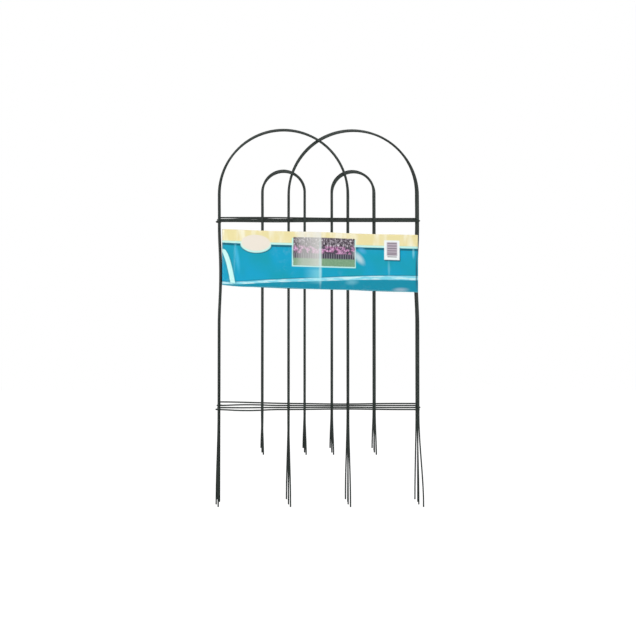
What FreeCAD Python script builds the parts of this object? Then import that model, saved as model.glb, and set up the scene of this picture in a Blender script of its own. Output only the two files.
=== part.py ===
"""A folding border fence of steel wire, folded flat into a pack of hinged panels.

Each panel has two large arches that overlap, a small arch inside each of them, and two rails welded behind
their legs. Every rail but the last panel's ends in an eye, closed round the end leg of the panel behind it, so
that the panels fold on each other and open out to a straight run. A film sleeve goes round the legs of the
front panel, except the first.

Millimetres. X is to the right along the folded panels, Y is to the back, Z is up. The origin is the middle of
the cut end of the front panel's left leg, where it stands on the ground.

The wire has flat sides, and a flat side faces each wire that it is welded to. The stretch of each end leg that
the eyes turn on is round.
"""

import FreeCAD, Part
import math
import os

# The wire
WIRE_D = 3.2  # across its flat sides
WIRE_SIDES = 8

# One panel
PANELS = 4
PANEL_HEIGHT = 813.0
LARGE_SPAN = 280.0  # between the middles of a large arch's legs
ARCH_OFFSET = 151.0  # from one large arch to the next
SMALL_SPAN = 92.0
SMALL_DROP = 90.0  # from the top of a large arch down to that of the small one in it
SHORT_LEG_LIFT = 112.0  # how far the small arches' legs end above the large ones'
TOP_RAIL_Z = 616.0
BOTTOM_RAIL_Z = 209.0
RAIL_STUB = 1.0  # how far a rail runs past the last leg that it is welded to

# The bend above the top rail that sets the left arches forward and the right ones back, so that they cross
CROWN_BEND_START = 10.0  # above the middle of the rail
CROWN_BEND_LENGTH = 36.0

# How far handling has bent the feet to the right, from the front panel's to the last one's
LEFT_FOOT_LEANS = (-0.5, -4.0, 0.0, -4.3)
MIDDLE_FOOT_LEANS = (4.0, 1.3, -1.3, -4.0)
RIGHT_FOOT_LEANS = (10.0, 3.0, 0.0, -3.0)
SHORT_FOOT_LEANS = (2.5, 1.0, -1.0, -2.5)
FOOT_BEND_START = 10.0  # below the middle of the bottom rail

# The hinges
EYE_REACH = 2.1  # from a panel's last leg to the middle of its eyes
EYE_TURN = 270.0  # degrees of a full ring
EYE_GAP = 1.4  # between an eye and the leg in it
PANEL_GAP = 0.5  # between an eye and the rail that rests over it

# The film sleeve
FILM = 0.4
SLEEVE_HEIGHT = 123.0
SLEEVE_Z = 530.0  # its middle
SLEEVE_TILT = 1.75  # degrees, the right end lower
SLEEVE_GAP = 0.3  # between the film and the legs
SLEEVE_START = 9.0  # from the front panel's first leg, which is outside the film, to the middle of its fold

HALF_WIRE = WIRE_D / 2
PANEL_WIDTH = LARGE_SPAN + ARCH_OFFSET
HINGE_SPAN = PANEL_WIDTH + EYE_REACH
SMALL_INSET = (LARGE_SPAN - SMALL_SPAN) / 2
LARGE_CROWN_Z = PANEL_HEIGHT - HALF_WIRE
SMALL_CROWN_Z = LARGE_CROWN_Z - SMALL_DROP
EYE_RADIUS = WIRE_D + EYE_GAP  # to the middle of the wire
PANEL_PITCH = WIRE_D + EYE_RADIUS  # from one panel to the next behind it
PANEL_STEP = WIRE_D + PANEL_GAP  # each panel is this much higher than the one before it

# The hinge axes, as seen on the folded pack
LEFT_AXIS_X = -LEFT_FOOT_LEANS[0] - EYE_REACH
RIGHT_AXIS_X = LEFT_AXIS_X + HINGE_SPAN

UP = FreeCAD.Vector(0, 0, 1)
BACK = FreeCAD.Vector(0, 1, 0)


def point(x, y, z):
    return FreeCAD.Vector(x, y, z)


def section(middle, side, other_side):
    """The wire's outline round a point, with flat sides facing the two directions."""
    corner = HALF_WIRE / math.cos(math.pi / WIRE_SIDES)
    turns = [(i + 0.5) * 2 * math.pi / WIRE_SIDES for i in range(WIRE_SIDES + 1)]
    return Part.makePolygon(
        [middle + side * (corner * math.cos(t)) + other_side * (corner * math.sin(t)) for t in turns]
    )


def joined(pieces):
    """One solid of pieces that meet face to face."""
    return pieces[0].fuse(pieces[1:]).Solids[0]


def leg(x, foot_x, foot_z, panel_y, panel_z, crown_y, shoulder_z, is_pin):
    """A leg from its foot up to the shoulder of its arch, with a slight bend below and above the rails."""
    straight_low = point(x, panel_y, panel_z + BOTTOM_RAIL_Z - FOOT_BEND_START)
    straight_high = point(x, panel_y, panel_z + TOP_RAIL_Z + CROWN_BEND_START)
    stations = [
        point(foot_x, panel_y, foot_z),
        straight_low,
        straight_high,
        point(x, crown_y, straight_high.z + CROWN_BEND_LENGTH),
        point(x, crown_y, shoulder_z),
    ]
    pieces = []
    for low, high in zip(stations, stations[1:]):
        if is_pin and low is straight_low:
            pieces.append(Part.makeCylinder(HALF_WIRE, high.z - low.z, low, UP))
        else:
            ends = [section(end, point(1, 0, 0), BACK) for end in (low, high)]
            pieces.append(Part.makeLoft(ends, True, True))
    return pieces


def arch(left_x, span, foot_z, foot_leans, crown_z, panel_y, panel_z, crown_y, pin_side):
    """A wire up one leg, round the half circle of the crown and down the other leg."""
    radius = span / 2
    shoulder_z = panel_z + crown_z - radius
    pieces = []
    for side, x, lean in (("left", left_x, foot_leans[0]), ("right", left_x + span, foot_leans[1])):
        is_pin = side == pin_side
        pieces += leg(x, x + lean, panel_z + foot_z, panel_y, panel_z, crown_y, shoulder_z, is_pin)
    start = Part.Face(section(point(left_x, crown_y, shoulder_z), point(1, 0, 0), BACK))
    pieces.append(start.revolve(point(left_x + radius, crown_y, shoulder_z), BACK, 180))
    return joined(pieces)


def rail(pin_x, to_eye, with_eye, y, z):
    """A rail that starts past the end leg at pin_x and runs the way of to_eye, 1 or -1, to its eye or last leg."""
    along = point(to_eye, 0, 0)
    start = point(pin_x, y, z) - along * (HALF_WIRE + RAIL_STUB)
    length = PANEL_WIDTH + 2 * (HALF_WIRE + RAIL_STUB)
    if with_eye:
        length = HINGE_SPAN + HALF_WIRE + RAIL_STUB
    outline = section(start, BACK, UP)
    bar = Part.Face(outline).extrude(along * length)
    if not with_eye:
        return bar
    eye_start = start + along * length
    end = Part.Face(section(eye_start, BACK, UP))
    ring = end.revolve(eye_start + BACK * EYE_RADIUS, UP, to_eye * EYE_TURN)
    return joined([bar, ring])


def panel(number):
    """The pieces of one panel, numbered from 1 at the front. The odd panels have their eyes on the left."""
    to_eye = -1 if number % 2 else 1
    pin_x = RIGHT_AXIS_X if number % 2 else LEFT_AXIS_X
    pin_side = "right" if number % 2 else "left"
    with_eye = number < PANELS
    left_x = min(pin_x, pin_x + to_eye * PANEL_WIDTH)
    y = (number - 1) * PANEL_PITCH
    z = (number - 1) * PANEL_STEP
    leans = [
        row[number - 1] for row in (LEFT_FOOT_LEANS, MIDDLE_FOOT_LEANS, RIGHT_FOOT_LEANS, SHORT_FOOT_LEANS)
    ]
    sides = (
        ("left", left_x, y - HALF_WIRE, (leans[0], leans[1])),
        ("right", left_x + ARCH_OFFSET, y + HALF_WIRE, (leans[1], leans[2])),
    )
    pieces = {}
    for side, x, crown_y, long_leans in sides:
        pin = pin_side if side == pin_side else None
        pieces[f"{side}_arch"] = arch(x, LARGE_SPAN, 0, long_leans, LARGE_CROWN_Z, y, z, crown_y, pin)
        pieces[f"{side}_small_arch"] = arch(
            x + SMALL_INSET, SMALL_SPAN, SHORT_LEG_LIFT, (leans[3], leans[3]), SMALL_CROWN_Z, y, z, crown_y, None
        )
    pieces["top_rail"] = rail(pin_x, to_eye, with_eye, y + WIRE_D, z + TOP_RAIL_Z)
    pieces["bottom_rail"] = rail(pin_x, to_eye, with_eye, y + WIRE_D, z + BOTTOM_RAIL_Z)
    return {f"panel_{number}_{name}": shape for name, shape in pieces.items()}


def loop(half_depth, left_x, right_x, height):
    """A flat bar with round ends, upright, round the front panel's legs."""
    box = Part.makeBox(right_x - left_x, 2 * half_depth, height, point(left_x, -half_depth, -height / 2))
    ends = [Part.makeCylinder(half_depth, height, point(x, 0, -height / 2)) for x in (left_x, right_x)]
    return joined([box] + ends)


def label_sleeve():
    """The film, a closed loop cut off along two slightly tilted edges."""
    left_x, right_x = LEFT_AXIS_X + EYE_REACH + SLEEVE_START, RIGHT_AXIS_X
    inner = HALF_WIRE + SLEEVE_GAP
    tall = 2 * SLEEVE_HEIGHT
    film = loop(inner + FILM, left_x, right_x, tall).cut(loop(inner, left_x, right_x, tall))
    film.translate(UP * SLEEVE_Z)
    middle = point((left_x + right_x) / 2, 0, SLEEVE_Z)
    width = 2 * PANEL_WIDTH
    band = Part.makeBox(
        width, WIRE_D * 4, SLEEVE_HEIGHT, middle - point(width / 2, WIRE_D * 2, SLEEVE_HEIGHT / 2)
    )
    band.rotate(middle, BACK, SLEEVE_TILT)
    return film.common(band).Solids[0]


nodes = {"label_sleeve": label_sleeve()}
for number in range(1, PANELS + 1):
    nodes.update(panel(number))

os.makedirs("parts", exist_ok=True)
for name, shape in nodes.items():
    shape.exportStep(f"parts/{name}.step")
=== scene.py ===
# %% [markdown]
# # A folding garden fence
# The real thing is a border fence of coated steel wire: four arched panels, hinged on each other, folded flat
# for the shop with a printed film round the front one. The CAD model holds every wire at its true place and
# size. This lesson starts from that frame and then swaps the plain eight-sided bars for round, coated wire.

# %% Load the frame
import math
import bpy
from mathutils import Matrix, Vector


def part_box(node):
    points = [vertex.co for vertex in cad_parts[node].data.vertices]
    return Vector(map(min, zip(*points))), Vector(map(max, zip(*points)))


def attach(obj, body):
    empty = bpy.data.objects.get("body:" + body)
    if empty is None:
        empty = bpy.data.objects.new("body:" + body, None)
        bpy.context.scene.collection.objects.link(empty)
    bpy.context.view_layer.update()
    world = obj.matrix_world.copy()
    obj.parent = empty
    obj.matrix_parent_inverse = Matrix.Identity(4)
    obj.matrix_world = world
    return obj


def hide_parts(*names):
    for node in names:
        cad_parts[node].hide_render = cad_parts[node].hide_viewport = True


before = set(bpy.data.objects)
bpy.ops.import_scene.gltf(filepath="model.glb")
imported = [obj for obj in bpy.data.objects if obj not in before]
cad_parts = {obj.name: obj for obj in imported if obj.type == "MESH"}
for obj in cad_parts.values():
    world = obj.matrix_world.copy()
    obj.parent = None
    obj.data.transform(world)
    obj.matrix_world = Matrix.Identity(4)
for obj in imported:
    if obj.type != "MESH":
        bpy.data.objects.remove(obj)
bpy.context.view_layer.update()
MM = 0.001

# %% [markdown]
# ## The camera
# The photograph looks straight at the front panel, from a bit under a metre and a half. That distance shows in
# the way the rear panels draw together at the top and step apart at the feet. A camera could be set by eye, but
# the known size of a panel gives its place and its lens by plain proportion, so that is used. The camera looks
# up by under a degree, because the pack narrows a little upwards, and a small shift brings it to the middle.

# %% Camera
CAMERA_PLACE = (0.2145, -1.36, 0.335)
LOOKING_UP = 0.7  # degrees
bpy.ops.object.camera_add(location=CAMERA_PLACE, rotation=(math.radians(90 + LOOKING_UP), 0, 0))
camera = bpy.context.object
camera.name = "camera"
camera.data.sensor_width = 36
camera.data.lens = 35.71
camera.data.shift_y = 0.04
bpy.context.scene.camera = camera
print("camera to the front panel:", round(-camera.location.y, 3), "m")

# %% [markdown]
# ## Working on a piece
# In Blender a shape is edited by selecting some of its points and moving them. These small helpers do that in
# code: one opens a piece with only the chosen points selected, one pulls the selected end of a wire along, and
# one pushes points aside while their neighbours follow softly, as a bend in wire does.

# %% Helpers for editing a piece
def leave():
    """Closes the piece that is being edited, with nothing left selected."""
    if bpy.context.mode != "OBJECT":
        bpy.ops.object.mode_set(mode="OBJECT")
    bpy.ops.object.select_all(action="DESELECT")


def pick(piece, chosen):
    """Opens a piece for editing, with the points that pass the test selected."""
    leave()
    piece.select_set(True)
    bpy.context.view_layer.objects.active = piece
    points = piece.data.vertices
    for point in points:
        point.select = chosen(point.co)
    for part in list(piece.data.edges) + list(piece.data.polygons):
        part.select = all(points[i].select for i in part.vertices)
    bpy.ops.object.mode_set(mode="EDIT")


def everything(place):
    return True


def pull(x=0.0, y=0.0, z=0.0):
    """Extrudes the selected end."""
    bpy.ops.mesh.extrude_region_move(TRANSFORM_OT_translate={"value": (x, y, z)})


def push(piece, chosen, offset, reach=None):
    """Moves the chosen points, and within the reach the ones beside them less and less."""
    pick(piece, chosen)
    if reach is None:
        bpy.ops.transform.translate(value=offset)
    else:
        bpy.ops.transform.translate(
            value=offset, use_proportional_edit=True, proportional_edit_falloff="SMOOTH", proportional_size=reach
        )
    leave()


def copy_of(pattern, name, offset):
    """A copy with its own mesh, moved to its place."""
    piece = pattern.copy()
    piece.data = pattern.data.copy()
    piece.name = piece.data.name = name
    bpy.context.collection.objects.link(piece)
    push(piece, everything, offset)
    return piece


# %% [markdown]
# ## Where the wires are
# Each panel is the same wire pattern, set a little further back and one wire higher than the one before it,
# because its rails rest over the eyes that it hangs in. Every other panel starts further to the left. The long
# feet of the real pack are splayed by handling, the front ones to the right and the rear ones to the left.

# %% The panels' places
WIRE = 1.6 * MM  # the radius of the wire
LEGS = [x * MM for x in (0, 94, 151, 186, 245, 280, 337, 431)]
LARGE_SPAN, SMALL_SPAN = 280 * MM, 92 * MM  # between an arch's legs
LARGE_CROWN, SMALL_CROWN = 811.4 * MM, 721.4 * MM  # up to the middle of the wire
SHORT_FOOT = 112 * MM  # where the small arches' legs end
TOP_RAIL, BOTTOM_RAIL = 616 * MM, 209 * MM
BEND_LOW, BEND_HIGH = 626 * MM, 662 * MM  # where the arches start and end their step aside
FOOT_BEND = 199 * MM  # the feet lean below this height
PANEL_PITCH, PANEL_STEP = 7.8 * MM, 3.7 * MM  # from one panel to the next, to the back and up
FIRST_LEGS = (0.5, -1.6, 0.5, -1.6)  # where each panel's first leg is, in mm
FOOT_LEANS = {  # how far the feet of each panel lean to the right, in mm
    "left": (-0.5, -4.0, 0.0, -4.3),
    "middle": (4.0, 1.3, -1.3, -4.0),
    "right": (10.0, 3.0, 0.0, -3.0),
    "short": (2.5, 1.0, -1.0, -2.5),
}
PANELS = [
    {
        "body": f"panel_{i + 1}",
        "place": Vector((FIRST_LEGS[i] * MM, i * PANEL_PITCH, i * PANEL_STEP)),
        "leans": {feet: leans[i] * MM for feet, leans in FOOT_LEANS.items()},
        "eyes_left": i % 2 == 0,
        "has_eyes": i < 3,
    }
    for i in range(4)
]
for panel in PANELS:
    low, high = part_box(panel["body"] + "_top_rail")
    print(panel["body"], "top rail from", [round(v / MM, 1) for v in low], "to", [round(v / MM, 1) for v in high])

# %% [markdown]
# ## A wire
# Coated wire is a round bar with its edge rounded where it was cropped. It could be a curve with a bevel, but a
# circle that is pulled along and spun round the bends gives clean rings of faces exactly where they are wanted:
# few on the straight, many in the bends. The cut ends are then bevelled.

# %% Starting and ending a wire
ROUND = 16  # corners in the wire's circle


def cut_end(name, place, turn=(0, 0, 0)):
    """A wire's first end: a filled circle, open for editing."""
    leave()
    bpy.ops.mesh.primitive_circle_add(vertices=ROUND, radius=WIRE, fill_type="NGON", location=place, rotation=turn)
    piece = bpy.context.object
    piece.name = piece.data.name = name
    bpy.ops.object.transform_apply(location=True, rotation=True, scale=True)
    pick(piece, everything)
    return piece


def trim(piece):
    """Bevels the cut ends, turns the faces outwards and smooths the wire."""
    bpy.ops.object.mode_set(mode="OBJECT")
    for part in list(piece.data.vertices) + list(piece.data.edges):
        part.select = False
    for face in piece.data.polygons:
        face.select = len(face.vertices) == ROUND
    bpy.context.tool_settings.mesh_select_mode = (False, False, True)
    bpy.ops.object.mode_set(mode="EDIT")
    bpy.ops.mesh.bevel(offset=0.5 * MM, segments=3, affect="EDGES")
    bpy.context.tool_settings.mesh_select_mode = (True, False, False)
    bpy.ops.mesh.select_all(action="SELECT")
    bpy.ops.mesh.remove_doubles(threshold=0.02 * MM)
    bpy.ops.mesh.normals_make_consistent(inside=False)
    leave()
    piece.select_set(True)
    bpy.ops.object.shade_smooth_by_angle(angle=math.radians(50))
    leave()


# %% [markdown]
# ## The arches
# An arch is one wire: up a leg, round a half circle and down again. It is modelled straight and flat, once in
# each size. The two large arches of a panel cross, so each copy steps half a wire aside above the top rail,
# which the soft push makes as smooth as a real bend.

# %% Arch patterns
RING_HEIGHTS = [*range(20, 200, 20), *range(199, 611, 22), 620, 626, 633, 640, 648, 655, 662]  # in mm
CROWN_STEPS = 48


def arch(name, span, foot, crown):
    """An arch with its left leg at x 0, and a ring of points at each height where it may have to bend."""
    shoulder = crown - span / 2
    rings = [height * MM for height in RING_HEIGHTS]
    stops = [foot] + [height for height in rings if height > foot + 5 * MM] + [shoulder]
    piece = cut_end(name, (0, 0, foot))
    for low, high in zip(stops, stops[1:]):
        pull(z=high - low)
    bpy.ops.mesh.spin(steps=CROWN_STEPS, angle=-math.pi, center=(span / 2, 0, shoulder), axis=(0, 1, 0))
    for high, low in zip(stops[::-1], stops[-2::-1]):
        pull(z=low - high)
    trim(piece)
    return piece


large_arch = arch("large_arch", LARGE_SPAN, 0.0, LARGE_CROWN)
small_arch = arch("small_arch", SMALL_SPAN, SHORT_FOOT, SMALL_CROWN)
for piece in (large_arch, small_arch):
    places = [point.co for point in piece.data.vertices]
    wide, tall = (max(p[i] for p in places) - min(p[i] for p in places) for i in (0, 2))
    print(piece.name, "is", round(wide / MM, 1), "mm wide and", round(tall / MM, 1), "mm tall")

# %% [markdown]
# ## The arches of every panel
# Each copy is moved to its place, stepped forward or back above the top rail, and its feet are splayed. The tight
# film draws the end legs in by three millimetres, between the hinges, which stay straight. Copying keeps all
# the arches alike, as the bending machine does, and only the last pushes make them differ.

# %% Arches
SQUEEZE = 3 * MM  # how far the film draws the end legs in
SQUEEZE_HEIGHT, SQUEEZE_REACH = 500 * MM, 95 * MM
SQUEEZE_CORE = 16 * MM  # this close to that height, a leg moves in full
wires = []


def add_wire(piece, body, cad_node):
    """Puts a finished wire on its body, in the place of its CAD node."""
    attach(piece, body)
    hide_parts(cad_node)
    wires.append(piece)


for panel in PANELS:
    place, body, leans = panel["place"], panel["body"], panel["leans"]
    for side, first, forward, feet in (
        ("left", LEGS[0], -WIRE, ("left", "middle")),
        ("right", LEGS[2], WIRE, ("middle", "right")),
    ):
        for size, pattern, inset, foot, span, ends in (
            ("arch", large_arch, 0.0, 0.0, LARGE_SPAN, feet),
            ("small_arch", small_arch, LEGS[1], SHORT_FOOT, SMALL_SPAN, ("short", "short")),
        ):
            cad_node = f"{body}_{side}_{size}"
            piece = copy_of(pattern, cad_node + "_wire", place + Vector((first + inset, 0, 0)))
            high = place.z + BEND_HIGH - 0.01 * MM
            push(piece, lambda p: p.z > high, (0, forward, 0), BEND_HIGH - BEND_LOW)
            low = place.z + foot + 1 * MM
            split = place.x + first + inset + span / 2
            push(piece, lambda p: p.z < low and p.x < split, (leans[ends[0]], 0, 0), FOOT_BEND - foot)
            push(piece, lambda p: p.z < low and p.x > split, (leans[ends[1]], 0, 0), FOOT_BEND - foot)
            if size == "arch":
                is_left = side == "left"
                held = place.z + SQUEEZE_HEIGHT
                push(
                    piece,
                    lambda p: abs(p.z - held) < SQUEEZE_CORE and (p.x < split) == is_left,
                    (SQUEEZE if is_left else -SQUEEZE, 0, 0),
                    SQUEEZE_REACH,
                )
            add_wire(piece, body, cad_node)
for pattern in (large_arch, small_arch):
    bpy.data.objects.remove(pattern)
print(len(wires), "arches")

# %% [markdown]
# ## The rails
# A rail is a straight wire behind the legs. At one end it is wound three quarters round the next panel's leg,
# so the eye is the hinge. The same circle is pulled along the rail and then spun round the leg. The rails of
# every other panel are its mirror image, and mirroring turns a mesh inside out, so its faces are turned back.
# No rail of a handled pack is quite straight: they bow up or down by a millimetre or three, which fans them out
# at the left and closes them up in the middle. The eyes stay where they are.

# %% Rails
RAIL_STEPS = 24
HINGE_RAIL_LENGTH, PLAIN_RAIL_LENGTH = 435.7 * MM, 436.2 * MM
EYE = 4.6 * MM  # from the leg in the eye to the middle of the eye's wire
EYE_STEPS, EYE_TURN = 27, math.radians(270)
BOW_CORE = 12 * MM  # this close to a bow's middle, a rail moves in full
BOWS = {  # for each rail: where along it, how far up, and how far to each side the bow reaches, in mm
    "panel_1_top_rail": ((120, -0.8, 100),),
    "panel_2_top_rail": ((0, 0.9, 170),),
    "panel_3_top_rail": ((75, 1.8, 68), (200, 0.6, 90)),
    "panel_4_top_rail": ((60, 2.3, 240),),
    "panel_1_bottom_rail": ((62, -2.2, 56), (270, 1.2, 130)),
    "panel_2_bottom_rail": ((50, -0.6, 70), (250, 0.4, 110)),
    "panel_3_bottom_rail": ((62, 1.6, 56), (250, -0.4, 110)),
    "panel_4_bottom_rail": ((0, 3.5, 170), (270, -1.2, 120)),
}


def rail(name, length, with_eye):
    """A rail with its eye on the left, from its right end at x 0."""
    piece = cut_end(name, (0, 0, 0), (0, math.radians(90), 0))
    for step in range(RAIL_STEPS):
        pull(x=-length / RAIL_STEPS)
    if with_eye:
        bpy.ops.mesh.spin(steps=EYE_STEPS, angle=EYE_TURN, center=(-length, EYE, 0), axis=(0, 0, 1))
    trim(piece)
    return piece


hinge_rail = rail("hinge_rail", HINGE_RAIL_LENGTH, True)
plain_rail = rail("plain_rail", PLAIN_RAIL_LENGTH, False)
for panel in PANELS:
    place, body = panel["place"], panel["body"]
    for name, height in (("top_rail", TOP_RAIL), ("bottom_rail", BOTTOM_RAIL)):
        cad_node = f"{body}_{name}"
        low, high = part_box(cad_node)
        behind_legs = Vector((0, place.y + 2 * WIRE, place.z + height))
        pattern = hinge_rail if panel["has_eyes"] else plain_rail
        if panel["eyes_left"]:
            piece = copy_of(pattern, cad_node + "_wire", behind_legs + Vector((high[0], 0, 0)))
        else:
            piece = copy_of(pattern, cad_node + "_wire", (0, 0, 0))
            pick(piece, everything)
            bpy.ops.transform.resize(value=(-1, 1, 1), center_override=(0, 0, 0))
            bpy.ops.mesh.normals_make_consistent(inside=False)
            leave()
            push(piece, everything, behind_legs + Vector((low[0], 0, 0)))
        for at, rise, reach in BOWS[cad_node]:
            push(piece, lambda p: abs(p.x - at * MM) < BOW_CORE, (0, 0, rise * MM), reach * MM)
        add_wire(piece, body, cad_node)
for pattern in (hinge_rail, plain_rail):
    bpy.data.objects.remove(pattern)
print(len(wires), "wires in all")

# %% [markdown]
# ## The welds
# A leg and a rail are pressed together while a current melts them, which leaves a flat bead in the notch
# between the two round wires, with a thin lip where metal was squeezed out. A ball is squashed to that shape
# and its rim is drawn out. There are sixty-four, so one is modelled and the rest are copies of few faces.

# %% Weld beads
BEAD = 1.5 * MM  # the radius of the ball
BEAD_FLATNESS = 0.55
LIP = (1.18, 1, 1.12)  # how far the rim is drawn out
leave()
bpy.ops.mesh.primitive_uv_sphere_add(segments=12, ring_count=8, radius=BEAD, rotation=(math.radians(90), 0, 0))
bead = bpy.context.object
bead.name = bead.data.name = "bead"
bpy.ops.object.transform_apply(location=True, rotation=True, scale=True)
pick(bead, everything)
bpy.ops.transform.resize(value=(1, BEAD_FLATNESS, 1), center_override=(0, 0, 0))
pick(bead, lambda p: abs(p.y) < 0.05 * MM)
bpy.ops.transform.resize(value=LIP, center_override=(0, 0, 0))
leave()
bead.select_set(True)
bpy.context.view_layer.objects.active = bead
bpy.ops.object.shade_smooth()
welds = []


def rail_height(cad_node, x):
    """The height of a rail's middle where it crosses a leg, from its nearest rings of points."""
    rail_points = bpy.data.objects[cad_node + "_wire"].data.vertices
    near = [p.co.z for p in rail_points if abs(p.co.x - x) < 15 * MM]
    return (min(near) + max(near)) / 2


for panel in PANELS:
    place, body = panel["place"], panel["body"]
    beads = []
    for name in ("top_rail", "bottom_rail"):
        for x in LEGS:
            height = rail_height(f"{body}_{name}", place.x + x)
            beads.append(copy_of(bead, "bead_copy", Vector((place.x + x, place.y + WIRE, height))))
    leave()
    for piece in beads:
        piece.select_set(True)
    bpy.context.view_layer.objects.active = beads[0]
    bpy.ops.object.join()
    beads[0].name = beads[0].data.name = body + "_welds"
    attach(beads[0], body)
    welds.append(beads[0])
leave()
bpy.data.objects.remove(bead)
print("faces in one panel's welds:", len(welds[0].data.polygons))

# %% [markdown]
# ## The film
# The film is a thin printed tube, shrunk tight round the front panel's legs, with a fold at the left that stops
# short of the first leg. It is cut from a flat strip, so it is made as one: a grid as long as the way round is
# laid along that way, closed at the back and given its thickness. The shallow dips between the legs, and the
# creases that handling pressed into it, are moved in point by point, because they carry the highlights.

# %% Film sleeve
FILM_TALL = 123 * MM
FILM_TILT = math.radians(1.75)
FILM_LEFT, FILM_RIGHT, FILM_MIDDLE = 9.5 * MM, 431.5 * MM - SQUEEZE, 530 * MM
FILM_HALF = 2.05 * MM  # from the middle of the legs to the film
FLAT = FILM_RIGHT - FILM_LEFT
TURN = math.pi * FILM_HALF
AROUND = 2 * (FLAT + TURN)


def way_round(s):
    """The place and the outward direction at a distance s round the film, from the middle of its left edge."""
    s = (s - TURN / 2) % AROUND
    if s < FLAT:
        return Vector((FILM_LEFT + s, -FILM_HALF, 0)), Vector((0, -1, 0))
    if s < FLAT + TURN:
        a = (s - FLAT) / FILM_HALF
        out = Vector((math.sin(a), -math.cos(a), 0))
        return Vector((FILM_RIGHT, 0, 0)) + out * FILM_HALF, out
    if s < 2 * FLAT + TURN:
        return Vector((FILM_RIGHT - (s - FLAT - TURN), FILM_HALF, 0)), Vector((0, 1, 0))
    a = (s - 2 * FLAT - TURN) / FILM_HALF
    out = Vector((-math.sin(a), math.cos(a), 0))
    return Vector((FILM_LEFT, 0, 0)) + out * FILM_HALF, out


def ridge(distance, width):
    """A rounded ridge's height, 1 on its line and 0 past its width."""
    t = min(abs(distance) / width, 1)
    return (1 - t * t) ** 2


def dent(x, up, front):
    """How far the film stands out, in mm, at x along the panel and at a height up the film, in mm."""
    gap = 0.0
    for low, high in zip(LEGS, LEGS[1:]):
        low, high = low / MM + FIRST_LEGS[0], high / MM + FIRST_LEGS[0]
        if low < x < high:
            across = math.sin(math.pi * (x - low) / (high - low))
            depth = 0.35 + 0.25 * math.sin(0.05 * x + 0.045 * up + (0 if front else 2))
            gap = -depth * across ** 1.5
    flat_ends = max(0, min(1, (x - 9.5) / 16, (431 - x) / 16))  # no creases where the film turns round a leg
    wave = 0.16 * math.sin(0.09 * x + 0.04 * up) * math.sin(0.031 * x - 0.07 * up + 1)
    if not front:
        return gap + wave * flat_ends
    crease = 0.9 * ridge(x - 217 - 1.5 * math.sin(up / 30), 4.5)  # down the middle
    crease += 0.6 * ridge(x - 38 - (up - 60) * 0.03, 6)  # near the left end
    crease += 0.5 * ridge((x - 303) - (67 - up) * 0.85, 5) * ridge(up - 58, 16)  # short, beside the picture
    crease += 0.4 * ridge(x - 368, 4) * ridge(up - 48, 24)  # short, under the striped box
    crease -= 0.4 * ridge(up - 6 - 20 * math.sin(x / 290), 4)  # along the lower edge, pressed in
    off_curve = x - 5 - 25.5 * (max(80 - up, 0) / 70) ** 0.5  # the curved one in the left lower corner
    return gap + (wave + crease) * flat_ends + (0.8 * ridge(off_curve, 5.5) if up < 80 else 0)


ROWS, COLUMNS = 42, 420
SWAY = 0.5 * MM  # how far the cut edges wander
CORNER_LIFT, CORNER_REACH = 3 * MM, 60 * MM  # the left lower corner is turned up
FILM_WALL = 0.15 * MM
leave()
bpy.ops.mesh.primitive_grid_add(x_subdivisions=COLUMNS, y_subdivisions=ROWS, size=1)
film = bpy.context.object
film.name = film.data.name = "label_film"
print_map = film.data.uv_layers[0]
print_map.name = "print"
for loop in film.data.loops:
    flat = film.data.vertices[loop.vertex_index].co
    print_map.data[loop.index].uv = ((flat.x + 0.5) * AROUND, (flat.y + 0.5) * FILM_TALL)
halfway = (FILM_LEFT + FILM_RIGHT) / 2
for point in film.data.vertices:
    s, up = (point.co.x + 0.5) * AROUND, (point.co.y + 0.5) * FILM_TALL
    place, out = way_round(s)
    in_front = out.y < 0
    sway = SWAY * math.sin(place.x * 31 + (1 if in_front else 3)) * (up / FILM_TALL - 0.5) * 2
    lift = CORNER_LIFT * max(0, 1 - (place.x - FILM_LEFT) / CORNER_REACH) ** 2 * (1 - up / FILM_TALL)
    z = FILM_MIDDLE + (up - FILM_TALL / 2) - (place.x - halfway) * math.tan(FILM_TILT) + sway + lift
    point.co = place + out * dent(place.x / MM, up / MM, in_front) * MM
    point.co.z = z
pick(film, everything)
bpy.ops.mesh.remove_doubles(threshold=0.01 * MM)
bpy.ops.mesh.normals_make_consistent(inside=False)
leave()
film.select_set(True)
bpy.context.view_layer.objects.active = film
wall = film.modifiers.new("wall", "SOLIDIFY")
wall.thickness = FILM_WALL
wall.offset = 1
bpy.ops.object.modifier_apply(modifier="wall")
bpy.ops.object.shade_smooth()
leave()
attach(film, "panel_1")
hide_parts("label_sleeve")
print("film:", round(AROUND / MM), "mm round,", len(film.data.polygons), "faces")

# %% [markdown]
# ## Building finishes from nodes
# A finish is a small machine of nodes. One helper adds a node and wires up its inputs, so that each material
# below reads as a list of what it is made of. A number on an input is set there, and a socket is linked to it.

# %% Node helpers
def feed(tree, socket, value):
    """Gives an input its value: a link from a socket, or else a number or a colour."""
    if isinstance(value, bpy.types.NodeSocket):
        tree.links.new(value, socket)
    else:
        socket.default_value = value


def node(tree, kind, settings=None, **inputs):
    """Adds a node. Settings are its own options. Inputs go by their name, or by _ and their number."""
    made = tree.nodes.new(kind)
    for name, value in (settings or {}).items():
        setattr(made, name, value)
    for name, value in inputs.items():
        feed(tree, made.inputs[int(name[1:]) if name[0] == "_" else name.replace("_", " ")], value)
    return made.outputs[0]


def calc(tree, operation, *values):
    """A Math node's result."""
    return node(tree, "ShaderNodeMath", {"operation": operation}, **{f"_{i}": v for i, v in enumerate(values)})


def times(tree, first, *others):
    """The product of two or more values."""
    for value in others:
        first = calc(tree, "MULTIPLY", first, value)
    return first


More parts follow.
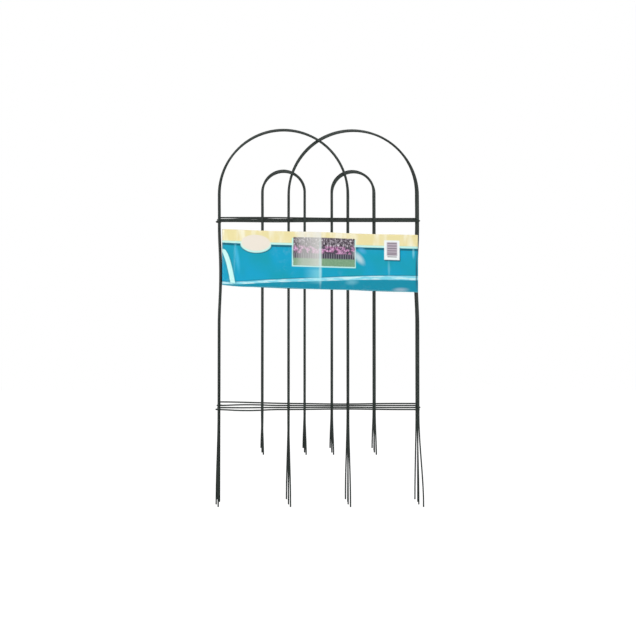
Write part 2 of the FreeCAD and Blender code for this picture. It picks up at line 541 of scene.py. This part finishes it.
def noise(tree, place, scale, detail, roughness=0.5):
    return node(tree, "ShaderNodeTexNoise", Vector=place, Scale=scale, Detail=detail, Roughness=roughness)


def blend_colours(tree, share, under, over):
    """One colour over another, by a share from 0 to 1."""
    made = tree.nodes.new("ShaderNodeMix")
    made.data_type = "RGBA"
    for i, value in ((0, share), (6, under), (7, over)):
        feed(tree, made.inputs[i], value)
    return made.outputs[2]


def remap(tree, value, low, high, to_low=0.0, to_high=1.0):
    """A value stretched from one range to another, smoothly at its ends."""
    made = tree.nodes.new("ShaderNodeMapRange")
    made.interpolation_type = "SMOOTHSTEP"
    for i, v in enumerate((value, low, high, to_low, to_high)):
        feed(tree, made.inputs[i], v)
    return made.outputs[0]


def new_group(name, inputs, outputs):
    """An empty node group with named inputs and outputs."""
    tree = bpy.data.node_groups.new(name, "ShaderNodeTree")
    kinds = {"value": "NodeSocketFloat", "vector": "NodeSocketVector", "colour": "NodeSocketColor"}
    for side, sockets in (("INPUT", inputs), ("OUTPUT", outputs)):
        for label, kind in sockets.items():
            tree.interface.new_socket(name=label, in_out=side, socket_type=kinds[kind])
    return tree, tree.nodes.new("NodeGroupInput"), tree.nodes.new("NodeGroupOutput")


def use_group(tree, group, **inputs):
    """Places a group in a material."""
    made = tree.nodes.new("ShaderNodeGroup")
    made.node_tree = group
    for name, value in inputs.items():
        feed(tree, made.inputs[name.replace("_", " ")], value)
    return made.outputs


# %% [markdown]
# ## Scuffs and dust
# Everything that has been handled shows it: patches where the surface is a little paler and duller. The wire
# and the film both have them, at different scales, so the effect is one group that each material tunes.

# %% The handling group
handling, given, result = new_group(
    "handling", {"Place": "vector", "Scale": "value", "Amount": "value"}, {"Mask": "value", "Patches": "value"}
)
place, scale = given.outputs["Place"], given.outputs["Scale"]
broad = noise(handling, place, scale, 3.0, 0.6)
fine = noise(handling, place, times(handling, scale, 7.0), 4.0, 0.7)
both = times(handling, remap(handling, broad, 0.45, 0.7), remap(handling, fine, 0.48, 0.66))
handling.links.new(times(handling, both, given.outputs["Amount"]), result.inputs["Mask"])
handling.links.new(broad, result.inputs["Patches"])
print("handling group:", len(handling.nodes), "nodes")

# %% [markdown]
# ## Coated wire
# The wire has a dark green-grey coat, satin and slightly uneven, like the skin of an orange under a lens. It is
# one dark colour that drifts a little, paler where wires have rubbed, with its gloss broken up by a fine bump.
# A weld is the same coat, but it pools there, so it is glossier; its paler colour is partly pale metal dust and
# partly painted glints.

# %% Wire materials
RUBBED = (0.17, 0.185, 0.17, 1)


def coated(name, dark, pale, rubbed, gloss):
    """A coat between two colours, with a share of it rubbed. Gloss is its roughness where it is smooth."""
    material = bpy.data.materials.new(name)
    material.use_nodes = True
    tree = material.node_tree
    shader = tree.nodes["Principled BSDF"]
    place = node(tree, "ShaderNodeTexCoord").node.outputs["Object"]
    worn = use_group(tree, handling, Place=place, Scale=14.0, Amount=rubbed)
    drift = noise(tree, place, 11.0, 2.0)
    colour = blend_colours(tree, remap(tree, drift, 0.35, 0.65), dark, pale)
    feed(tree, shader.inputs["Base Color"], blend_colours(tree, worn["Mask"], colour, RUBBED))
    feed(tree, shader.inputs["Roughness"], remap(tree, worn["Patches"], 0.3, 0.7, gloss - 0.06, gloss + 0.12))
    skin = noise(tree, place, 1100.0, 2.0)
    runs = noise(tree, place, 240.0, 1.0)
    height = calc(tree, "ADD", skin, times(tree, runs, 1.5))
    bump = node(tree, "ShaderNodeBump", Strength=0.12, Distance=0.0001, Height=height)
    feed(tree, shader.inputs["Normal"], bump)
    shader.inputs["Specular IOR Level"].default_value = 0.3
    return material


wire_coat = coated("wire_coat", (0.009, 0.015, 0.012, 1), (0.018, 0.028, 0.023, 1), 0.12, 0.4)
# Paler than the wire: partly metal dust, partly painted glints at the welds.
weld_coat = coated("weld_coat", (0.02, 0.027, 0.024, 1), (0.05, 0.06, 0.055, 1), 0.6, 0.3)


def dress(piece, material):
    """Gives a piece its only material."""
    piece.data.materials.clear()
    piece.data.materials.append(material)


for piece in wires:
    dress(piece, wire_coat)
for piece in welds:
    dress(piece, weld_coat)
print("dressed", len(wires), "wires and", len(welds), "sets of welds")

# %% [markdown]
# ## Shapes in print
# The film is printed, so its finish is flat shapes of ink laid over each other. Two groups make them: a box and
# an oval, each a mask that is 1 inside and falls to 0 over a soft edge, like the spread of ink. A third makes a
# soft slanting streak, for painted highlights and painted shadows on the film. They read the film's own map,
# which is in metres along and up the film, so the print follows every crease.

# %% Print groups
def print_group(name, *measures):
    """A group that reads the place along and up the film, and these measures of its shape."""
    tree, given, result = new_group(name, {n: "value" for n in ("Along", "Up", *measures)}, {"Mask": "value"})
    return tree, [given.outputs[n] for n in ("Along", "Up", *measures)], result.inputs["Mask"]


def inside(tree, value, low, high, soft):
    """1 between two limits, with soft edges."""
    sides = []
    for limit, outside, within in ((low, "SUBTRACT", "ADD"), (high, "ADD", "SUBTRACT")):
        start, end = calc(tree, outside, limit, soft), calc(tree, within, limit, soft)
        sides.append(node(tree, "ShaderNodeMapRange", Value=value, From_Min=start, From_Max=end))
    return times(tree, *sides)


def diagonal(tree, a, b):
    """The length of a step that goes a one way and b across it."""
    return calc(tree, "SQRT", calc(tree, "ADD", times(tree, a, a), times(tree, b, b)))


box_print, (along, up, left, right, low, high, soft), mask = print_group(
    "box_print", "Left", "Right", "Low", "High", "Soft"
)
wide, tall = inside(box_print, along, left, right, soft), inside(box_print, up, low, high, soft)
feed(box_print, mask, times(box_print, wide, tall))

oval_print, (along, up, middle, height, half_wide, half_tall, soft), mask = print_group(
    "oval_print", "Middle", "Height", "Half wide", "Half tall", "Soft"
)
across = calc(oval_print, "DIVIDE", calc(oval_print, "SUBTRACT", along, middle), half_wide)
upward = calc(oval_print, "DIVIDE", calc(oval_print, "SUBTRACT", up, height), half_tall)
away = diagonal(oval_print, across, upward)
rim, core = calc(oval_print, "ADD", 1.0, soft), calc(oval_print, "SUBTRACT", 1.0, soft)
feed(oval_print, mask, node(oval_print, "ShaderNodeMapRange", Value=away, From_Min=rim, From_Max=core))

# The streak mask places painted highlights and painted shadows on the film.
painted_light_streak, (along, up, middle, height, turn, half_long, half_wide), mask = print_group(
    "painted_light_streak", "Middle", "Height", "Turn", "Half long", "Half wide"
)
aside, above = calc(painted_light_streak, "SUBTRACT", along, middle), calc(painted_light_streak, "SUBTRACT", up, height)
cosine, sine = calc(painted_light_streak, "COSINE", turn), calc(painted_light_streak, "SINE", turn)
with_it = calc(painted_light_streak, "ADD", times(painted_light_streak, aside, cosine), times(painted_light_streak, above, sine))
off_it = calc(painted_light_streak, "SUBTRACT", times(painted_light_streak, above, cosine), times(painted_light_streak, aside, sine))
with_it, off_it = calc(painted_light_streak, "DIVIDE", with_it, half_long), calc(painted_light_streak, "DIVIDE", off_it, half_wide)
feed(painted_light_streak, mask, remap(painted_light_streak, diagonal(painted_light_streak, with_it, off_it), 1.0, 0.1))
print("print groups:", len(box_print.nodes), len(oval_print.nodes), len(painted_light_streak.nodes), "nodes")

# %% [markdown]
# ## Inks
# The print is a plain design of this lesson's own, in the colours of such a wrapper. Its inks are laid over
# each other one by one, each with its place in millimetres along and up the film. Three small functions lay a
# box, an oval or a streak over what is there already, so the cells below read in the order of printing.

# %% Film material
film_print = bpy.data.materials.new("film_print")
film_print.use_nodes = True
tree = film_print.node_tree
shader = tree.nodes["Principled BSDF"]


def scaled(place, scale):
    """A place multiplied axis by axis, which draws out the pattern that reads it."""
    return node(tree, "ShaderNodeVectorMath", {"operation": "MULTIPLY"}, _0=place, _1=scale)


in_mm = scaled(node(tree, "ShaderNodeUVMap", {"uv_map": "print"}), (1000, 1000, 0))
axes = node(tree, "ShaderNodeSeparateXYZ", Vector=in_mm).node
along, up = axes.outputs["X"], axes.outputs["Y"]


def box_of_ink(under, ink, left, right, low, high, soft=0.5):
    mask = use_group(tree, box_print, Along=along, Up=up, Left=left, Right=right, Low=low, High=high, Soft=soft)
    return blend_colours(tree, mask["Mask"], under, ink)


def oval_of_ink(under, ink, middle, height, half_wide, half_tall, soft):
    mask = use_group(
        tree, oval_print, Along=along, Up=up, Middle=middle, Height=height,
        Half_wide=half_wide, Half_tall=half_tall, Soft=soft,
    )
    return blend_colours(tree, mask["Mask"], under, ink)


# A streak lays painted light over the print: a painted highlight or a painted shadow.
def streak_of_painted_light(under, ink, middle, height, slant, half_long, half_wide, strength):
    mask = use_group(
        tree, painted_light_streak, Along=along, Up=up, Middle=middle, Height=height,
        Turn=math.radians(slant), Half_long=half_long, Half_wide=half_wide,
    )
    return blend_colours(tree, times(tree, mask["Mask"], strength), under, ink)


# %% [markdown]
# ## The field, the stripe and the oval
# The field is teal that drifts to sea green, as thin ink does. A cream stripe with a pale mint edge runs along
# the top, all the way round. The bare oval hangs from the stripe with a rim and a shadow of its own, which are
# printed first, so that the stripe covers their upper half.

# %% Field, stripe and oval
TEAL = (0.0, 0.36, 0.59, 1)
SEA_TEAL = (0.0, 0.34, 0.46, 1)
DEEP_TEAL = (0.0, 0.13, 0.19, 1)
CREAM = (0.84, 0.74, 0.38, 1)
PALE_CREAM = (0.92, 0.87, 0.66, 1)
PALE_MINT = (0.55, 0.90, 0.82, 1)
PAPER = (0.85, 0.78, 0.68, 1)
START, END = -20, 900  # past both ends of the print

ink = blend_colours(tree, remap(tree, noise(tree, in_mm, 0.012, 2.0), 0.35, 0.65), TEAL, SEA_TEAL)
ink = oval_of_ink(ink, DEEP_TEAL, 74.5, 92, 35, 19.5, 0.05)
ink = oval_of_ink(ink, PALE_MINT, 74, 94.5, 34, 20, 0.04)
ink = box_of_ink(ink, DEEP_TEAL, START, 41, 88.5, 93.5, 0.8)
ink = box_of_ink(ink, DEEP_TEAL, 107, END, 88.5, 93.5, 0.8)
ink = box_of_ink(ink, PALE_MINT, START, END, 93.5, 98)
streaky = noise(tree, scaled(in_mm, (0.05, 0.012, 0)), 1.0, 3.0)
cream = blend_colours(tree, remap(tree, streaky, 0.42, 0.68), CREAM, PALE_CREAM)
ink = box_of_ink(ink, cream, START, END, 98, 140)
ink = oval_of_ink(ink, PAPER, 74, 96, 31.5, 17.5, 0.05)

# %% [markdown]
# ## The picture
# A picture this small is four bands of texture: a hedge with light through it, a border in flower, a low
# paling and a lawn. Noise makes the leaves, and round Voronoi cells make the blooms.

# %% Picture
leaves = noise(tree, scaled(in_mm, (0.30, 0.13, 0)), 1.0, 4.0, 0.75)
hedge = blend_colours(tree, remap(tree, leaves, 0.44, 0.56), (0.045, 0.035, 0.045, 1), (0.24, 0.20, 0.24, 1))
hedge = blend_colours(tree, remap(tree, leaves, 0.55, 0.64), hedge, (0.85, 0.80, 0.86, 1))
blooms = node(tree, "ShaderNodeTexVoronoi", Vector=in_mm, Scale=0.17)
drifts = noise(tree, in_mm, 0.07, 3.0)
in_bloom = times(tree, remap(tree, blooms, 0.8, 0.5), remap(tree, drifts, 0.38, 0.46))
bloom = blend_colours(tree, remap(tree, leaves, 0.4, 0.6), (0.36, 0.11, 0.27, 1), (0.72, 0.42, 0.66, 1))
border = blend_colours(tree, in_bloom, (0.07, 0.06, 0.085, 1), bloom)
pales = times(tree, remap(tree, calc(tree, "SINE", times(tree, along, 1.25)), 0.5, 0.95), 0.45)
paling = blend_colours(tree, pales, (0.055, 0.05, 0.075, 1), (0.5, 0.5, 0.55, 1))
lawn = blend_colours(tree, noise(tree, in_mm, 0.25, 3.0), (0.10, 0.25, 0.13, 1), (0.30, 0.47, 0.30, 1))
ink = box_of_ink(ink, PALE_MINT, 152, 289.5, 47.5, 109, 0.8)
for band, low, high, soft in (
    (hedge, 50.5, 111, 0.7),
    (border, 72, 92, 3.0),
    (paling, 64, 77, 1.5),
    (lawn, 50.5, 66, 1.5),
):
    ink = box_of_ink(ink, band, 155, 287.5, low, high, soft)

# %% [markdown]
# ## The striped box
# A white box with a shadow stands at the right, over the edge of the stripe. It has a lilac field with seven
# plain dark stripes, each a thin box of ink.

# %% Striped box
WHITE = (0.88, 0.93, 0.93, 1)
LILAC = (0.50, 0.43, 0.50, 1)
PLUM = (0.20, 0.17, 0.20, 1)
ink = box_of_ink(ink, DEEP_TEAL, 352, 386, 65, 94, 1.2)
ink = box_of_ink(ink, WHITE, 351, 384, 68, 110)
ink = box_of_ink(ink, LILAC, 356.5, 379, 77, 106, 1.0)
for height in (103.5, 98, 92.5, 87.5, 82.5, 79, 74.5):
    ink = box_of_ink(ink, PLUM, 358, 378, height - 0.9, height + 0.9, 0.6)

# %% [markdown]
# ## The fold along the lower edge
# The film is folded up along its lower edge. The fold is a painted highlight, a light line that rises from the
# left lower corner and levels out, with painted shade just above it and duller below. Its height is a power of the
# distance to the right end, so one formula gives the line, and all that follows it is measured from there.

# %% Fold
to_end = calc(tree, "MAXIMUM", calc(tree, "SUBTRACT", 1.0, calc(tree, "DIVIDE", along, 430.0)), 0.0)
line = calc(tree, "SUBTRACT", 30.5, times(tree, calc(tree, "POWER", to_end, 1.55), 25.9))
off_line = calc(tree, "SUBTRACT", up, line)
half = calc(tree, "SUBTRACT", 4.4, times(tree, to_end, 2.0))
front = remap(tree, along, 436.0, 434.0)
ink = blend_colours(tree, times(tree, remap(tree, off_line, 0.5, -0.5), front), ink, (0.0, 0.27, 0.40, 1))
# Painted shade: a dark band just above the fold.
above = inside(tree, off_line, half, calc(tree, "ADD", half, 2.2), 1.2)
ink = blend_colours(tree, times(tree, above, front, 0.55), ink, DEEP_TEAL)
# Painted highlight: the light line along the fold, pale cyan to near white.
patchy = noise(tree, scaled(in_mm, (0.035, 0.2, 0)), 1.0, 3.0)
fold_highlight_colours = blend_colours(tree, remap(tree, patchy, 0.4, 0.62), (0.24, 0.70, 0.84, 1), (0.62, 0.90, 0.94, 1))
fold = times(tree, inside(tree, off_line, times(tree, half, -1.0), half, 0.9), front)
ink = blend_colours(tree, fold, ink, fold_highlight_colours)

# %% [markdown]
# ## Painted light on the creases
# The creases' light is painted into the film's colour. The curved crease at the left follows a square root, like a
# bow, with painted shade beside it and a painted highlight along it. A broad painted glare lies over the left half
# of the picture, where the film stands off it, and the rest are short streaks of painted highlight and painted
# shadow, which one table lists.

# %% Creases
# Each row paints a highlight or a shadow onto the film; its ink is that painted light's colour.
STREAKS = (  # ink, along, up, slant in degrees, half length, half width, strength
    ((0.62, 0.88, 0.90, 1), 213, 56, 90, 72, 4.5, 0.45),
    ((0.80, 0.90, 0.90, 1), 296, 70, -50, 24, 11, 0.62),
    ((0.12, 0.45, 0.80, 1), 303, 87, -35, 15, 9, 0.55),
    ((0.30, 0.72, 0.82, 1), 361, 48, 91, 26, 3.6, 0.32),
    ((0.30, 0.76, 0.86, 1), 414, 84, 90, 16, 4.0, 0.5),
    ((0.35, 0.78, 0.86, 1), 281, 17, 5, 20, 9, 0.3),
    ((0.70, 0.70, 0.78, 1), 386, 4, 4, 24, 7, 0.4),
    ((0.0, 0.06, 0.10, 1), 420.5, 46, 90, 66, 3.0, 0.85),
)
root = calc(tree, "MAXIMUM", calc(tree, "DIVIDE", calc(tree, "SUBTRACT", 80.0, up), 70.0), 0.0)
bow = calc(tree, "SUBTRACT", times(tree, calc(tree, "SQRT", root), 25.5), 1.5)
off_bow = calc(tree, "ABSOLUTE", calc(tree, "SUBTRACT", along, bow))
# Painted shade beside the curved crease, then a painted highlight along it.
shadow = times(tree, remap(tree, off_bow, 11.0, 5.0, 0.0, 0.6), inside(tree, up, 5.0, 88.0, 4.0))
ink = blend_colours(tree, shadow, ink, (0.0, 0.24, 0.30, 1))
curved = times(tree, remap(tree, off_bow, 6.2, 4.0), inside(tree, up, 7.0, 79.0, 1.5))
ink = blend_colours(tree, curved, ink, (0.58, 0.95, 0.90, 1))
# Painted highlight: a lighter blue band down the crease near the left end.
ink = streak_of_painted_light(ink, (0.06, 0.52, 0.80, 1), 34, 62, 97, 42, 6.5, 0.7)

# Painted glare over the left half of the picture, and fainter below it.
edge = remap(tree, along, 218.5, 213.5)
painted_glare = calc(tree, "ADD", remap(tree, along, 153.0, 178.0, 0.0, 0.42), remap(tree, along, 180.0, 214.0, 0.0, 0.25))
painted_glare = times(tree, painted_glare, edge, remap(tree, up, 46.0, 52.0))
ink = blend_colours(tree, painted_glare, ink, (0.80, 0.80, 0.77, 1))
painted_glare_below = times(tree, remap(tree, along, 172.0, 214.0, 0.0, 0.55), edge, inside(tree, up, 16.0, 45.0, 6.0))
ink = blend_colours(tree, painted_glare_below, ink, (0.30, 0.78, 0.86, 1))
for streak in STREAKS:
    ink = streak_of_painted_light(ink, *streak)

# %% [markdown]
# ## The cut edge, dust and gloss
# The lowest millimetre is a painted highlight, pale cyan, for light gathered in the cut edge of clear film. Last
# come the same dust and scuffs as on the wire, a gloss that they dull, and a fine ripple.

# %% Gloss of the film
# Painted highlight along the lowest millimetre of the film.
lowest = remap(tree, up, 1.6, 0.6, 0.0, 0.6)
painted_edge_highlight = times(tree, lowest, calc(tree, "LESS_THAN", along, 433.0))
ink = blend_colours(tree, painted_edge_highlight, ink, (0.35, 0.85, 0.92, 1))
place = node(tree, "ShaderNodeTexCoord").node.outputs["Object"]
worn = use_group(tree, handling, Place=place, Scale=9.0, Amount=0.08)
ink = blend_colours(tree, worn["Mask"], ink, (0.85, 0.88, 0.9, 1))
feed(tree, shader.inputs["Base Color"], ink)
feed(tree, shader.inputs["Roughness"], remap(tree, worn["Patches"], 0.3, 0.7, 0.12, 0.26))
ripple = noise(tree, place, 45.0, 2.0)
feed(tree, shader.inputs["Normal"], node(tree, "ShaderNodeBump", Strength=0.35, Distance=0.0008, Height=ripple))
shader.inputs["Specular IOR Level"].default_value = 0.22
dress(film, film_print)
print("film material:", len(tree.nodes), "nodes")

# %% [markdown]
# ## Floor
# The photograph is on pure white. The floor is light grey and adds just enough glow of its own, for the camera
# only, to reach white. It keeps a faint soft shadow, which a floor that is all glow wouldn't.

# %% Floor
FLOOR_GLOW = 0.56
leave()
bpy.ops.mesh.primitive_plane_add(size=8, location=(0.204, 0.0, 0.0))
floor = bpy.context.object
floor.name = "floor"
white_floor = bpy.data.materials.new("white_floor")
white_floor.use_nodes = True
tree = white_floor.node_tree
shader = tree.nodes["Principled BSDF"]
shader.inputs["Base Color"].default_value = (0.85, 0.85, 0.85, 1)
shader.inputs["Roughness"].default_value = 1.0
shader.inputs["Specular IOR Level"].default_value = 0.0
shader.inputs["Emission Color"].default_value = (1, 1, 1, 1)
rays = node(tree, "ShaderNodeLightPath").node
feed(tree, shader.inputs["Emission Strength"], times(tree, rays.outputs["Is Camera Ray"], FLOOR_GLOW))
dress(floor, white_floor)

# %% [markdown]
# ## Background and light
# The world is white to the camera and in reflections, and dimmer for the light that it sheds, so the object
# isn't washed out. Three large soft lamps model the round wires: the key from the left, a weaker fill from the
# right, and one from above for the crowns and the rails.

# %% World and lamps
WORLD_LIGHT = 0.55
world = bpy.data.worlds.new("studio")
bpy.context.scene.world = world
world.use_nodes = True
tree = world.node_tree
shown = node(tree, "ShaderNodeBackground", Color=(1, 1, 1, 1), Strength=1.0)
shed = node(tree, "ShaderNodeBackground", Color=(1, 1, 1, 1), Strength=WORLD_LIGHT)
rays = node(tree, "ShaderNodeLightPath").node
mirrored = calc(tree, "MAXIMUM", rays.outputs["Is Glossy Ray"], rays.outputs["Is Transmission Ray"])
seen = calc(tree, "MAXIMUM", rays.outputs["Is Camera Ray"], mirrored)
mixed = node(tree, "ShaderNodeMixShader", _0=seen, _1=shed, _2=shown)
feed(tree, tree.nodes["World Output"].inputs["Surface"], mixed)


def soft_lamp(name, place, target, width, height, power):
    """A rectangle of light at a place, turned to its target."""
    bpy.ops.object.light_add(type="AREA", location=place)
    lamp = bpy.context.object
    lamp.name = name
    lamp.data.shape = "RECTANGLE"
    lamp.data.size, lamp.data.size_y = width, height
    lamp.data.energy = power
    lamp.rotation_euler = (Vector(target) - lamp.location).to_track_quat("-Z", "Y").to_euler()
    leave()


soft_lamp("key", (-0.55, -1.3, 0.85), (0.2, 0, 0.5), 0.3, 1.3, 6)
soft_lamp("fill", (1.3, -1.5, 1.0), (0.2, 0, 0.4), 1.0, 1.0, 5)
soft_lamp("top", (0.2, -0.9, 2.0), (0.2, 0, 0.4), 1.4, 0.8, 7)

# %% [markdown]
# ## The view
# Colours are shown as they are written, with the Standard view.

# %% Finish
bpy.context.scene.view_settings.view_transform = "Standard"
leave()
